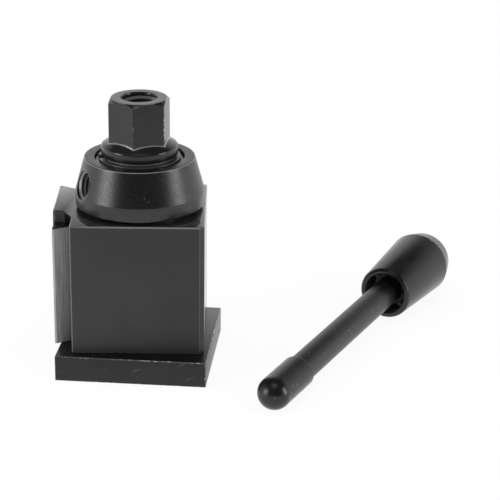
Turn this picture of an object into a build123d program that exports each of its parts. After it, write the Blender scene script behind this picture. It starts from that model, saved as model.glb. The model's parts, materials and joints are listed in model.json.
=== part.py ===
from build123d import *
from math import acos, asin, atan, cos, degrees, radians, sin, sqrt, tan
import os

# Wedge-type quick-change tool post on its T-nut blank, with the lever lying beside it.
# Millimetres. The origin is on the stud's axis at the underside of the base plate, +Z up.
# The front is -Y. The tool holders go on the left side (-X) and on the rear side (+Y).

# Fits
slide_gap = 0.05
turn_gap = 0.05
thread_gap = 0.05
soft_gap = 0.05
drive_gap = 0.1
clip_mouth_gap = 1.25
washer_mouth_gap = 0.5

# Base plate
plate_width = 51.6
plate_depth = 49.1
plate_thickness = 9.0
plate_turn = -5.15
plate_set_forward = 3.1
plate_edge = 0.2

# Centre stud
stud_diameter = 12.0
stud_end_chamfer = 1.2
stud_below_nut_top = 9.0
tap_drill_ratio = 0.85

# Body
body_side = 45.0
body_height = 45.9
body_edge = 0.4
body_corner_edge = 1.5
body_floor = 8.0

# Dovetails: the left one lies in this frame, the rear one is its mirror image
# in the upright plane through the left rear corner and the front right one.
dovetail_proud = 6.9
dovetail_angle = 60.0
dovetail_rear_edge = 19.6
wedge_tip_edge = 14.4
wedge_tip_flat = 1.1
pocket_back = 6.5
pocket_outer_chamfer = 0.7
wedge_recess = 0.4
wedge_below_top = 4.0
wedge_incline = 6.0

# Wedge drive
thread_starts = 4
thread_lead = 16.0
thread_depth = 2.0
thread_length = 18.0
thread_flank_gap = 0.3
thread_crest_share = 0.3
thread_root_share = 0.5
thread_relief = 3.2
thread_relief_step = 0.15
tongue_width = 3.8
tongue_height = 8.0
tongue_corner_inset = 0.4
tongue_thread_overlap = 1.4
cam_turn = 84.0

# Centre tube and drive sleeve
tube_diameter = 24.0
tube_bore_diameter = 12.8
tube_press_depth = 5.0
sleeve_floor_gap = 0.2
sleeve_wall = 3.95
sleeve_spigot = 5.0

# Cam ring
ring_diameter = 44.0
ring_top_diameter = 37.6
ring_body_gap = 1.15
ring_height = 16.7
ring_band_height = 5.0
ring_mouth_depth = 2.6
ring_top_round = 0.6
ring_bottom_edge = 0.4
socket_turn = 205.0
socket_height = 8.9
socket_drill_diameter = 8.5
socket_depth = 8.0
socket_sink_diameter = 10.8
key_diameter = 3.0
key_count = 3

# Retaining ring and thrust washer
washer_thickness = 1.4
clip_thickness = 1.2
clip_radial_width = 2.8
clip_groove_depth = 0.8
clip_turn = 188.0
clip_gap_angle = 16.0

# Clamp nut
nut_across_flats = 19.0
nut_top_chamfer_diameter = 19.0
nut_chamfer_angle = 40.0
nut_height = 19.7
collar_diameter = 26.0
collar_rim_height = 3.35
collar_slope = 28.0
collar_round = 0.8
collar_foot_inset = 0.5
tube_above_clip = 0.75
nut_mouth_diameter = 12.4
nut_turn = 22.2

# Lever
lever_x = 46.28
lever_y = -45.15
lever_turn = 61.55
rod_diameter = 9.76
rod_end_chamfer = 1.0
cap_diameter = 11.6
cap_length = 26.3
knob_start = 92.3
knob_cone_length = 29.0
knob_band_height = 1.75
knob_small_diameter = 19.2
knob_large_diameter = 23.5
knob_lip_edge = 0.5
knob_wall = 1.7
knob_cavity_depth = 22.0
knob_hub_diameter = 12.8
knob_hub_recess = 2.5
knob_grip_length = 26.0
knob_rib_count = 2
knob_rib_width = 1.6
knob_rib_recess = 1.6
knob_rib_turn = 136.0

# Places that follow from the sizes
body_base = plate_thickness
body_top = body_base + body_height
ring_base = body_top + ring_body_gap
ring_top = ring_base + ring_height
washer_base = ring_top - ring_mouth_depth
clip_base = washer_base + washer_thickness + turn_gap
clip_top = clip_base + clip_thickness
nut_base = clip_top + tube_above_clip
nut_top = nut_base + nut_height
stud_top = nut_top - stud_below_nut_top
side_plane = -body_side / 2
dovetail_face = side_plane - dovetail_proud
flank_run = 1 / tan(radians(dovetail_angle))
incline = tan(radians(wedge_incline))
wedge_travel = thread_lead * cam_turn / 360
stud_bore_radius = stud_diameter / 2 + thread_gap
sleeve_diameter = tube_diameter + 2 * (turn_gap + sleeve_wall)
clip_inner_radius = tube_diameter / 2 - clip_groove_depth + soft_gap
clip_outer_radius = clip_inner_radius + clip_radial_width
mouth_radius = clip_outer_radius + clip_mouth_gap
diagonal_mirror = Plane(origin=(0, 0, 0), z_dir=(1, 1, 0))


def prism(points, low, high):
    """Upright prism on a plan outline."""
    face = make_face(Polyline(*points, close=True))
    return extrude(Pos(0, 0, low) * face, high - low)


def tube(outer, inner, low, high):
    """Upright tube between two heights, from its radii."""
    whole = Pos(0, 0, low) * Cylinder(outer, high - low, align=(Align.CENTER, Align.CENTER, Align.MIN))
    hole = Pos(0, 0, low - 1) * Cylinder(inner, high - low + 2, align=(Align.CENTER, Align.CENTER, Align.MIN))
    return whole - hole


def rod(radius, low, high):
    """Upright round bar between two heights."""
    return Pos(0, 0, low) * Cylinder(radius, high - low, align=(Align.CENTER, Align.CENTER, Align.MIN))


def turned(*edges):
    """Solid of revolution about Z from edges drawn in radius and height."""
    return revolve(Plane.XZ * make_face(Curve() + list(edges)), Axis.Z)


def turned_outline(*points):
    """Solid of revolution about Z from (radius, height) corners."""
    return turned(*Polyline(*points, close=True).edges())


def to_rear(shape):
    """The rear dovetail's copy of something on the left one."""
    return mirror(shape, diagonal_mirror)


# Directions of the wedge in plan: across its flank, and into the body along its guide wall
flank_out = (sin(radians(90 - dovetail_angle)), -cos(radians(90 - dovetail_angle)))
guide_in = (-flank_out[1], flank_out[0])


def wedge_flank_y(x):
    """Where the wedge's flank stands at a distance from the middle, at rest."""
    return -wedge_tip_edge + (x - (dovetail_face + wedge_tip_flat)) * flank_run


# Where the wedge's flank meets its guide wall, and where that wall meets the body's side
wedge_corner_x = side_plane - 0.55
wedge_corner = (wedge_corner_x, wedge_flank_y(wedge_corner_x))
mouth_step = (side_plane - wedge_corner_x) / flank_out[0]
mouth_corner = (side_plane, wedge_corner[1] + mouth_step * flank_out[1])


def ramp_y(z):
    """The pocket's back wall leans forward towards the bottom."""
    slope = -flank_out[1] * incline
    return -pocket_back - (body_top - z) * slope


def guide_point(y, inset):
    """Point on the guide wall at a given y, moved outwards by an inset."""
    along = (y - wedge_corner[1]) / -flank_out[1]
    x = wedge_corner[0] - along * flank_out[0]
    return (x - guide_in[0] * inset, y - guide_in[1] * inset)


def leaning(outline_at, low, high):
    """Loft between the plan outlines at two heights."""
    faces = [make_face(Polyline(*[(x, y, z) for x, y in outline_at(z)], close=True)) for z in (low, high)]
    return loft(faces)


def pocket_cut():
    """The space cut out of the left dovetail for its wedge."""
    far_left = dovetail_face - 2
    far_front = -body_side / 2

    def outline(z):
        back = ramp_y(z)
        corner_x = dovetail_face + pocket_outer_chamfer
        return [
            (far_left, back + corner_x - far_left),
            (corner_x, back),
            guide_point(back, 0),
            mouth_corner,
            (side_plane, far_front),
            (far_left, far_front),
        ]

    return leaning(outline, body_base - 1, body_top + 1)


def wedge_blank():
    """The left wedge without its tongue, fully down."""
    left = dovetail_face + wedge_recess
    tip_x = dovetail_face + wedge_tip_flat

    def outline(z):
        back = ramp_y(z) - slide_gap
        corner = guide_point(wedge_corner[1], slide_gap)
        return [
            (left, back),
            guide_point(back, slide_gap),
            corner,
            (tip_x, -wedge_tip_edge),
            (left, -wedge_tip_edge),
        ]

    return leaning(outline, body_base + slide_gap, body_top - wedge_below_top)


def tongue_box(grow_side, low, high, reach):
    """Bar from inside the left wedge towards the drive sleeve, square to the guide wall."""
    start = -0.6
    along = tongue_corner_inset + tongue_width / 2
    centre = (wedge_corner[0] - along * flank_out[0], wedge_corner[1] - along * flank_out[1])
    length = reach - start
    bar = Box(length, tongue_width + 2 * grow_side, high - low, align=(Align.MIN, Align.CENTER, Align.MIN))
    turn = degrees(acos(guide_in[0]))
    return Pos(centre[0], centre[1], low) * Rot(0, 0, turn) * Pos(start, 0, 0) * bar


def helix_bar(inner, outer, inner_width, outer_width, start_turn):
    """Tapered bar on the left-hand helix of the drive thread, over its whole height."""
    path = Helix(pitch=thread_lead, height=thread_length, radius=inner, lefthand=True)
    plane = Plane(origin=path @ 0, x_dir=(1, 0, 0), z_dir=path % 0)
    section = [
        (0, -inner_width / 2),
        (outer - inner, -outer_width / 2),
        (outer - inner, outer_width / 2),
        (0, inner_width / 2),
    ]
    face = plane * make_face(Polyline(*section, close=True))
    return Pos(0, 0, thread_base) * Rot(0, 0, start_turn) * sweep(face, path=path, is_frenet=True)


thread_crest = sleeve_diameter / 2
thread_root = thread_crest - thread_depth
thread_pitch = thread_lead / thread_starts
thread_top = body_top - 1.2
thread_base = thread_top - thread_length
tongue_reach = 12.5
tongue_end_radius = thread_crest - tongue_thread_overlap
tongue_top = body_top - wedge_below_top - 0.5
tongue_base = tongue_top - tongue_height


def make_base_plate():
    plate = Box(plate_width, plate_depth, plate_thickness, align=(Align.CENTER, Align.CENTER, Align.MIN))
    plate = chamfer(plate.edges(), plate_edge)
    plate = Rot(0, 0, plate_turn) * Pos(0, -plate_set_forward, 0) * plate
    return plate - rod(stud_bore_radius, -1, plate_thickness + 1)


def make_centre_stud():
    stud = rod(stud_diameter / 2, 0, stud_top)
    return chamfer(stud.edges().group_by(Axis.Z)[-1] + stud.edges().group_by(Axis.Z)[0], stud_end_chamfer)


def is_free_corner(edge):
    """Whether an edge bounds the wide cut on the body's front right corner."""
    middle = edge.center()
    return middle.X - middle.Y > body_side - 1.5 * body_corner_edge and abs(edge.tangent_at(0).Z) > 0.9


def make_post_body():
    block = Pos(0, 0, body_base) * Box(
        body_side, body_side, body_height, align=(Align.CENTER, Align.CENTER, Align.MIN)
    )
    # the corner between the two sides without a dovetail is cut off wider than the other edges
    free_corner = block.edges().filter_by(Axis.Z).sort_by(lambda edge: edge.center().X - edge.center().Y)[-1]
    block = chamfer(free_corner, body_corner_edge)
    block = chamfer(block.edges().filter_by(lambda edge: not is_free_corner(edge)), body_edge)
    # the fixed flank is at the rear end of the dovetail
    root_y = dovetail_rear_edge - dovetail_proud * flank_run
    front_y = -wedge_tip_edge
    dovetail = prism(
        [
            (side_plane + 1, root_y - flank_run),
            (dovetail_face, dovetail_rear_edge),
            (dovetail_face, front_y),
            (side_plane + 1, front_y),
        ],
        body_base,
        body_top,
    )
    outer_edges = dovetail.edges().filter_by(Axis.Y).group_by(Axis.X)[0]
    dovetail = chamfer(outer_edges, body_edge)
    dovetail -= pocket_cut()
    body = block + dovetail + to_rear(dovetail)
    cuts = pocket_cut()
    body -= cuts
    body -= to_rear(cuts)
    body -= rod(sleeve_diameter / 2 + drive_gap, body_base + body_floor, body_top + 1)
    body -= rod(tube_diameter / 2, body_base + body_floor - tube_press_depth, body_top)
    body -= rod(tube_bore_diameter / 2, body_base - 1, body_top)
    # windows for the tongues, with room for their travel
    side_room = 2 * slide_gap + wedge_travel * incline / 2
    window = tongue_box(
        side_room, tongue_base - 4 * slide_gap, tongue_top + wedge_travel + 4 * slide_gap, tongue_reach
    )
    shift = -wedge_travel * incline / 2
    window = Pos(flank_out[0] * shift, flank_out[1] * shift, 0) * window
    body -= window
    body -= to_rear(window)
    return body


def make_wedge(rear):
    blank = wedge_blank()
    tongue = tongue_box(0, tongue_base, tongue_top, tongue_reach)
    if rear:
        blank = to_rear(blank)
        tongue = to_rear(tongue)
    # the tongue's end is an arc that clears the sleeve's core, grooved for the thread's ridges
    tongue -= rod(tongue_end_radius, tongue_base - 1, tongue_top + 1)
    spread = 2 * thread_flank_gap
    for start in range(thread_starts):
        tongue -= helix_bar(
            tongue_end_radius - 0.5,
            thread_crest + thread_flank_gap,
            thread_pitch * thread_root_share + spread,
            thread_pitch * thread_crest_share + spread,
            360 / thread_starts * start,
        )
    tongue = max(tongue.solids(), key=lambda solid: solid.volume)
    return blank + tongue


def make_drive_sleeve():
    sleeve_base = body_base + body_floor + sleeve_floor_gap
    sleeve_top = ring_base + sleeve_spigot
    sleeve = tube(thread_crest, tube_diameter / 2 + turn_gap, sleeve_base, sleeve_top)
    # the thread's grooves run out into a relief at each end
    for low in (thread_base - thread_relief / 2, thread_top - thread_relief / 2):
        sleeve -= tube(thread_crest + 1, thread_root - thread_relief_step, low, low + thread_relief)
    over = 0.5
    taper = thread_pitch * (thread_root_share - thread_crest_share) / thread_depth
    for start in range(thread_starts):
        sleeve -= helix_bar(
            thread_root,
            thread_crest + over,
            thread_pitch * (1 - thread_root_share),
            thread_pitch * (1 - thread_crest_share) + over * taper,
            360 / thread_starts * (start + 0.5),
        )
    # the lever's socket is drilled through the ring into the sleeve
    return sleeve - key_holes() - lever_socket()


def key_holes():
    """Round keys stand half in the sleeve and half in the ring."""
    cutters = Part()
    for index in range(key_count):
        turn = 360 / key_count * index + 30
        cutters += Rot(0, 0, turn) * Pos(sleeve_diameter / 2, 0, 0) * rod(
            key_diameter / 2, ring_base, ring_base + sleeve_spigot
        )
    return cutters


def make_centre_tube():
    tube_base = body_base + body_floor - tube_press_depth
    whole = tube(tube_diameter / 2, tube_bore_diameter / 2, tube_base, nut_base)
    floor = tube_diameter / 2 - clip_groove_depth
    return whole - tube(tube_diameter, floor, clip_base - turn_gap / 2, clip_top + turn_gap / 2)


def make_cam_ring():
    low, top = ring_base, ring_top
    outer = ring_diameter / 2
    band_top = low + ring_band_height
    profile = [(0, low), (outer, low), (outer, band_top), (ring_top_diameter / 2, top), (0, top)]
    ring = turned_outline(*profile)
    rims = ring.edges().filter_by(GeomType.CIRCLE).group_by(Axis.Z)
    ring = fillet(rims[-1], ring_top_round)
    ring = chamfer(ring.edges().filter_by(GeomType.CIRCLE).group_by(Axis.Z)[0], ring_bottom_edge)
    ring -= rod(sleeve_diameter / 2, low - 1, low + sleeve_spigot)
    ring -= rod(tube_diameter / 2 + turn_gap, low - 1, top + 1)
    ring -= rod(mouth_radius, washer_base, top + 1)
    ring -= key_holes()
    return ring - lever_socket()


def socket_frame():
    """Frame of the lever's socket: square to the cone, Z out of the hole's mouth."""
    lean = degrees(atan((ring_diameter - ring_top_diameter) / 2 / (ring_height - ring_band_height)))
    rise = socket_height - ring_band_height
    radius = ring_diameter / 2 - rise * tan(radians(lean))
    outwards = Rot(0, 0, socket_turn) * Pos(radius, 0, 0) * Rot(0, 90 - lean, 0)
    return Pos(0, 0, ring_base + socket_height) * outwards


def lever_socket():
    """Tapped hole, drawn at its drill size, with a countersunk mouth."""
    hole = rod(socket_drill_diameter / 2, -socket_depth, 3)
    sink_depth = (socket_sink_diameter - socket_drill_diameter) / 2
    reach = 2.0
    sink = Cone(
        socket_drill_diameter / 2,
        socket_drill_diameter / 2 + sink_depth + reach,
        sink_depth + reach,
        align=(Align.CENTER, Align.CENTER, Align.MIN),
    )
    sink = Pos(0, 0, -sink_depth) * sink
    return socket_frame() * (hole + sink)


def make_ring_keys():
    return key_holes()


def make_thrust_washer():
    outer = mouth_radius - washer_mouth_gap
    return tube(outer, tube_diameter / 2 + turn_gap, washer_base, washer_base + washer_thickness)


def make_retaining_ring():
    """Split ring in the tube's groove."""
    ring = tube(clip_outer_radius, clip_inner_radius, clip_base, clip_top)
    reach = 2 * clip_outer_radius
    half = radians(clip_gap_angle / 2)
    far_x, far_y = reach * cos(half), reach * sin(half)
    ring -= prism([(0, 0), (far_x, far_y), (far_x, -far_y)], clip_base - 1, clip_top + 1)
    return Rot(0, 0, clip_turn) * ring


def make_clamp_nut():
    corner = nut_across_flats / sqrt(3)
    hexagon = Pos(0, 0, nut_base) * extrude(RegularPolygon(corner, 6, rotation=nut_turn), nut_height)
    # the cone that chamfers the corners at the top
    slope = tan(radians(nut_chamfer_angle))
    half_top = nut_top_chamfer_diameter / 2
    drop = (corner + 1 - half_top) * slope
    envelope = turned_outline(
        (0, nut_base),
        (corner + 1, nut_base),
        (corner + 1, nut_top - drop),
        (half_top, nut_top),
        (0, nut_top),
    )
    nut = make_collar() + (hexagon & envelope)
    drill = stud_diameter * tap_drill_ratio / 2
    nut -= rod(stud_bore_radius, nut_base - 1, stud_top)
    nut -= rod(drill, nut_base - 1, nut_top + 1)
    mouth = nut_mouth_diameter / 2 - drill
    sink = Cone(drill, nut_mouth_diameter / 2 + 1, mouth + 1, align=(Align.CENTER, Align.CENTER, Align.MIN))
    return nut - Pos(0, 0, nut_top - mouth) * sink


def make_collar():
    """Round collar whose top slopes up into the flats of the hexagon."""
    rim = collar_diameter / 2
    rim_top = nut_base + collar_rim_height
    foot = nut_across_flats / 2 - collar_foot_inset
    foot_top = rim_top + (rim - foot) * tan(radians(collar_slope))
    collar = turned_outline((0, nut_base), (rim, nut_base), (rim, rim_top), (foot, foot_top), (0, foot_top))
    rim_edge = collar.edges().filter_by(GeomType.CIRCLE).group_by(Axis.Z)[1]
    return fillet(rim_edge, collar_round)


# The lever lies on the surface: its cap's round end and its knob's widest rim touch it.
# It is drawn upright along Z from the tip of its cap, then laid down.
cap_radius = cap_diameter / 2
knob_slope = (knob_large_diameter - knob_small_diameter) / 2 / knob_cone_length
contact_length = knob_start + knob_cone_length - cap_radius
lever_tilt = degrees(asin((knob_large_diameter - cap_diameter) / 2 / contact_length))
rod_start = cap_radius - rod_end_chamfer
rod_end = knob_start + knob_grip_length


def lay_down(shape):
    """Put a piece of the upright lever where the lever lies."""
    place = Pos(lever_x, lever_y, cap_radius) * Rot(0, 0, lever_turn) * Rot(0, 90 - lever_tilt, 0)
    return place * Pos(0, 0, -cap_radius) * shape


def make_handle_rod():
    bar = rod(rod_diameter / 2, rod_start, rod_end)
    return lay_down(chamfer(bar.edges().filter_by(GeomType.CIRCLE), rod_end_chamfer))


def make_thread_cap():
    """Dipped cap with a round closed end, stretched over the rod's thread."""
    inner = rod_diameter / 2 + soft_gap
    shell = rod(cap_radius, cap_radius, cap_length) + Pos(0, 0, cap_radius) * Sphere(cap_radius)
    shell -= rod(inner, cap_radius, cap_length + 1)
    shell -= Pos(0, 0, cap_radius) * Sphere(inner)
    return lay_down(shell)


def make_handle_knob():
    """Tapered moulded knob with a domed end, hollow round the hub that grips the rod."""
    low = knob_start
    cone_top = low + knob_cone_length
    small = knob_small_diameter / 2
    large = knob_large_diameter / 2
    dome_base = cone_top + knob_band_height
    knob = turned_outline((0, low), (small, low), (large, cone_top), (large, dome_base), (0, dome_base))
    dome = Sphere(large, arc_size1=0, align=(Align.CENTER, Align.CENTER, Align.MIN))
    knob += Pos(0, 0, dome_base) * dome
    knob = chamfer(knob.edges().filter_by(GeomType.CIRCLE).group_by(Axis.Z)[0], knob_lip_edge)
    hub = knob_hub_diameter / 2
    mouth = small - knob_wall
    cavity_top = low + knob_cavity_depth
    cavity = turned_outline(
        (hub, low - 1),
        (mouth - knob_slope, low - 1),
        (mouth + knob_slope * knob_cavity_depth, cavity_top),
        (hub, cavity_top),
    )
    for index in range(knob_rib_count):
        rib = Box(large, knob_rib_width, knob_cavity_depth, align=(Align.MIN, Align.CENTER, Align.MIN))
        rib = Pos(hub - 1, 0, low + knob_rib_recess) * rib
        cavity -= Rot(0, 0, knob_rib_turn + 360 / knob_rib_count * index) * rib
    knob -= cavity
    knob -= rod(hub + slide_gap, low - 1, low + knob_hub_recess)
    knob -= rod(rod_diameter / 2 + soft_gap, low - 1, rod_end + soft_gap)
    return lay_down(knob)


NODES = {
    "base_plate": make_base_plate,
    "centre_stud": make_centre_stud,
    "post_body": make_post_body,
    "centre_tube": make_centre_tube,
    "side_wedge": lambda: make_wedge(False),
    "rear_wedge": lambda: make_wedge(True),
    "drive_sleeve": make_drive_sleeve,
    "cam_ring": make_cam_ring,
    "ring_keys": make_ring_keys,
    "thrust_washer": make_thrust_washer,
    "retaining_ring": make_retaining_ring,
    "clamp_nut": make_clamp_nut,
    "handle_rod": make_handle_rod,
    "handle_knob": make_handle_knob,
    "thread_cap": make_thread_cap,
}

os.makedirs("parts", exist_ok=True)
for node, make in NODES.items():
    export_step(make(), f"parts/{node}.step")
print(f"wedge travel {wedge_travel:.3f} mm for {cam_turn} degrees of cam turn")
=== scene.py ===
import json
from math import asin, atan2, cos, pi, radians, sin, sqrt, tan

import bmesh
import bpy
from bpy.props import FloatProperty, FloatVectorProperty, IntProperty, PointerProperty
from bpy.types import Operator, Panel, PropertyGroup
from mathutils import Matrix, Vector


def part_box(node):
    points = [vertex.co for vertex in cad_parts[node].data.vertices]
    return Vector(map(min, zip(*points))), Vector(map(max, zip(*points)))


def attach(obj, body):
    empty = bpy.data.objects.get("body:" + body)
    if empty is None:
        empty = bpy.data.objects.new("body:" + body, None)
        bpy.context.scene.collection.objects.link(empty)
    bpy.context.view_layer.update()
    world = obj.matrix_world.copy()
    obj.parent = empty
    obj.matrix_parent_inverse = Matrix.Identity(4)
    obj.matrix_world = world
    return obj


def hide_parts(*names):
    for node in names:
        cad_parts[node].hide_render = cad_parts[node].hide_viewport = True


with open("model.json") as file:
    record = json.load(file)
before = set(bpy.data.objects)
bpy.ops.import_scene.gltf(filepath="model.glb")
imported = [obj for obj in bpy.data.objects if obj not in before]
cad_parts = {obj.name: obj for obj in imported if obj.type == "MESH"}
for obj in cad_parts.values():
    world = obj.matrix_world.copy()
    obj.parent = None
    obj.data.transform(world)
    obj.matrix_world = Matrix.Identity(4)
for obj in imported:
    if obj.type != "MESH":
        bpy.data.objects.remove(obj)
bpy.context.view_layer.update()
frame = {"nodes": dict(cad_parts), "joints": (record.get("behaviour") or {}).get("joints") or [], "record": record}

bl_info = {
    "name": "Wedge tool post finish",
    "version": (1, 0, 0),
    "blender": (4, 5, 0),
    "location": "3D Viewport > Sidebar > Tool post",
    "description": "Dresses the CAD tool post and its lever with machined steel, moulded plastic and a stage",
    "category": "Object",
}

MM = 0.001
WHITE = 1.08  # Strength at which the paper shows as full white
LAMP_TARGET = Vector((0.03, 0.0, 0.05))

# Shares of a thread's pitch
ROOT_WIDTH = 0.86
CREST_WIDTH = 0.14
OUTER_THREAD_DEPTH = 0.61
INNER_THREAD_DEPTH = 0.54


def a_number(name, description, default, **more):
    return FloatProperty(name=name, description=description, default=default, **more)


def a_length(name, description, mm):
    return a_number(name, description, mm * MM, unit="LENGTH", precision=5)


def an_angle(name, description, degrees):
    return a_number(name, description, radians(degrees), subtype="ANGLE")


def a_colour(name, description, default):
    return FloatVectorProperty(name=name, description=description, subtype="COLOR", default=default)


def a_part(kind, name, description):
    return PointerProperty(type=kind, name=name, description=description)


class SteelFinish(PropertyGroup):
    """Colours and surface of the blackened steel."""

    oxide: a_colour("Black oxide", "Colour of the blackened steel", (0.0045, 0.0045, 0.0047))
    bare: a_colour("Bare steel", "Colour where the oxide is rubbed off", (0.55, 0.55, 0.56))
    ground: a_colour("Ground steel", "Colour of the oiled inner pieces", (0.16, 0.16, 0.165))
    edge_break: a_length("Edge break", "Rounding of a machined edge", 0.14)
    plate_strip: a_length("Plate strip", "Widest face that counts as a worn edge of the plate", 0.17)
    block_strip: a_length("Block strip", "The same on the block, whose own chamfers count too", 0.62)
    wedge_strip: a_length("Wedge strip", "The same on the wedges", 0.4)


class RingSizes(PropertyGroup):
    """Sizes of the cam ring that its box doesn't give."""

    band: a_length("Band", "Height of the straight band under the cone", 5)
    top_radius: a_length("Top radius", "Radius of the cone at its top", 18.8)
    mouth_radius: a_length("Mouth radius", "Radius of the mouth that holds the retaining ring", 15.3)
    mouth_depth: a_length("Mouth depth", "Depth of the mouth below the top", 2.6)
    bore_radius: a_length("Bore radius", "Running bore on the centre tube", 12.05)
    seat_radius: a_length("Seat radius", "Counterbore that takes the drive sleeve", 16)
    seat_depth: a_length("Seat depth", "Depth of that counterbore", 5)
    socket_major: a_length("Socket thread", "Major radius of the lever socket's thread", 5)
    socket_core: a_length("Socket drill", "Radius of the hole before it is tapped", 4.25)
    socket_pitch: a_length("Socket pitch", "Rise of the socket's thread in one turn", 1.5)
    socket_depth: a_length("Socket depth", "Depth of the socket from the cone", 8)
    sink_radius: a_length("Countersink", "Radius of the socket's countersunk mouth", 5.5)


class NutSizes(PropertyGroup):
    """Sizes of the clamp nut that its box doesn't give."""

    apothem: a_length("Half across flats", "From the axis to a flat", 9.5)
    turn: an_angle("Turn", "Where the first corner points", 22.2)
    rim_height: a_length("Rim", "Height of the collar's straight rim", 3.35)
    rim_round: a_length("Rim round", "Rounding of the collar's upper edge", 0.8)
    collar_slope: an_angle("Collar slope", "Slope of the collar up to the flats", 28)
    foot_round: a_length("Foot round", "Hollow rounding at the foot of the flats", 0.7)
    chamfer_slope: an_angle("Top chamfer", "Slope of the chamfer on the corners", 42)
    thread_major: a_length("Thread", "Major radius of the thread", 6)
    thread_pitch: a_length("Thread pitch", "Rise of the thread in one turn", 1.75)


class LeverSizes(PropertyGroup):
    """Sizes of the lever, measured along it from the tip of its cap."""

    rod_radius: a_length("Rod radius", "Radius of the rod", 4.88)
    rod_start: a_length("Rod start", "Where the rod's threaded end starts", 4.8)
    rod_end: a_length("Rod end", "Where the rod ends in the knob", 118.3)
    thread_pitch: a_length("Thread pitch", "Rise of the rod's thread in one turn", 1.5)
    cap_radius: a_length("Cap radius", "Radius of the cap", 5.78)
    cap_length: a_length("Cap length", "Length of the cap at its sides", 23.3)
    cap_slant: a_length("Cap slant", "How much shorter the cap is on its upper side", 0.8)
    knob_start: a_length("Knob start", "Where the knob's open end lies", 92.3)
    knob_cone: a_length("Knob cone", "Length of the knob's cone", 30.75)
    knob_shoulder: a_length("Knob shoulder", "Length of the steep shoulder between cone and dome", 5.75)
    knob_shoulder_slope: an_angle("Shoulder slope", "How steeply the shoulder closes in", 16)
    knob_dome: a_length("Knob dome", "Height of the dome past the shoulder", 5.6)
    knob_small: a_length("Knob small radius", "Radius at the open end", 9.6)
    knob_large: a_length("Knob large radius", "Radius at the dome", 11.74)
    knob_wall: a_length("Knob wall", "Wall round the knob's hollow", 2.1)
    knob_depth: a_length("Knob depth", "Depth of the knob's hollow", 22)
    knob_hub: a_length("Knob hub radius", "Radius of the hub that grips the rod", 6.4)
    knob_rib_turn: an_angle("Rib turn", "Where the knob's first rib stands", 136)


class StageLook(PropertyGroup):
    """Camera, floor and lamps."""

    camera_place: FloatVectorProperty(
        name="Camera", description="Where the camera stands", subtype="TRANSLATION", size=3,
        default=(0.035506, -0.594930, 0.267115),
    )
    camera_yaw: an_angle("Yaw", "Camera's turn from the +Y direction", 0.223)
    camera_pitch: an_angle("Pitch", "How far the camera looks down", 21.004)
    camera_roll: an_angle("Roll", "Camera's turn about its own view", 0.671)
    camera_lens: a_number("Lens", "Focal length on a 36 mm sensor", 132.55, subtype="DISTANCE_CAMERA")
    floor_colour: a_colour("Floor", "Colour of the floor and backdrop", (0.8, 0.8, 0.8))
    floor_front: a_length("Floor front", "How far the floor reaches in front of the object", 420)
    floor_glow: a_number(
        "Floor glow", "Share of plain white in what the camera and reflections see of the floor", 0.84,
        subtype="FACTOR", min=0, max=1,
    )
    sweep_height: a_length("Backdrop height", "How high the backdrop stands", 1350)
    sweep_radius: a_length("Backdrop radius", "How far the round backdrop stands from the object", 1600)
    room_light: a_number("Room light", "Strength of the light from all round", 0.6)
    room_gloom: a_number("Room seen", "Strength of the dim room that glossy surfaces mirror", 0.06)
    left_lamp: a_number("Left lamp", "Watts of the softbox on the left", 4.65)
    right_lamp: a_number("Right lamp", "Watts of the softbox on the right", 2.82)
    top_lamp: a_number("Top lamp", "Watts of the softbox above", 1.3)


class ToolPostSettings(PropertyGroup):
    """Everything that a user may change."""

    steel: a_part(SteelFinish, "Steel", "Steel finish")
    ring: a_part(RingSizes, "Cam ring", "Cam ring sizes")
    nut: a_part(NutSizes, "Clamp nut", "Clamp nut sizes")
    lever: a_part(LeverSizes, "Lever", "Lever sizes")
    stage: a_part(StageLook, "Stage", "Camera, floor and lamps")
    turns: IntProperty(name="Steps", description="Segments round a turned piece", default=192, min=24, max=512)


# Meshes

def polar(radius, angle):
    return radius * cos(angle), radius * sin(angle)


def rounded(corners, steps=4):
    """Profile with its corners rounded: each corner is (radius, height, rounding)."""
    points = []
    for index, (r, z, round_radius) in enumerate(corners):
        here = Vector((r, z))
        if round_radius <= 0:
            points.append((r, z))
            continue
        before = Vector(corners[index - 1][:2]) - here
        after = Vector(corners[(index + 1) % len(corners)][:2]) - here
        half = before.angle(after) / 2
        reach = min(round_radius / tan(half), 0.49 * before.length, 0.49 * after.length)
        middle = here + (before.normalized() + after.normalized()).normalized() * (reach / cos(half))
        start = here + before.normalized() * reach - middle
        sweep = (here + after.normalized() * reach - middle).angle_signed(start)
        points += [tuple(middle + Matrix.Rotation(sweep * step / steps, 2) @ start) for step in range(steps + 1)]
    return points


def arc(centre, radius, start, end, steps):
    """Points on an arc in radius and height."""
    spots = [start + (end - start) * step / steps for step in range(steps + 1)]
    return [(centre[0] + radius * cos(a), centre[1] + radius * sin(a)) for a in spots]


def even_turn(steps):
    return [2 * pi * step / steps for step in range(steps)]


def column_mesh(name, column, angles, closed):
    """Mesh whose columns stand round Z: column(angle) gives (radius, height) points.

    A closed column is a loop. An open one starts and ends on the axis.
    """
    mesh = bmesh.new()
    rows = []
    for angle in angles:
        row = []
        for index, (r, z) in enumerate(column(angle)):
            if rows and not closed and abs(r) < 1e-9:
                row.append(rows[0][index])
            else:
                row.append(mesh.verts.new((*polar(r, angle), z)))
        rows.append(row)
    count = len(rows[0])
    last = count if closed else count - 1
    for row, following in zip(rows, rows[1:] + rows[:1]):
        for index in range(last):
            corners = [row[index], following[index], following[(index + 1) % count], row[(index + 1) % count]]
            unique = list(dict.fromkeys(corners))
            if len(unique) > 2:
                mesh.faces.new(unique)
    bmesh.ops.recalc_face_normals(mesh, faces=mesh.faces)
    return mesh_object(name, mesh)


def new_object(name, data):
    made = bpy.data.objects.new(name, data)
    bpy.context.collection.objects.link(made)
    return made


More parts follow.
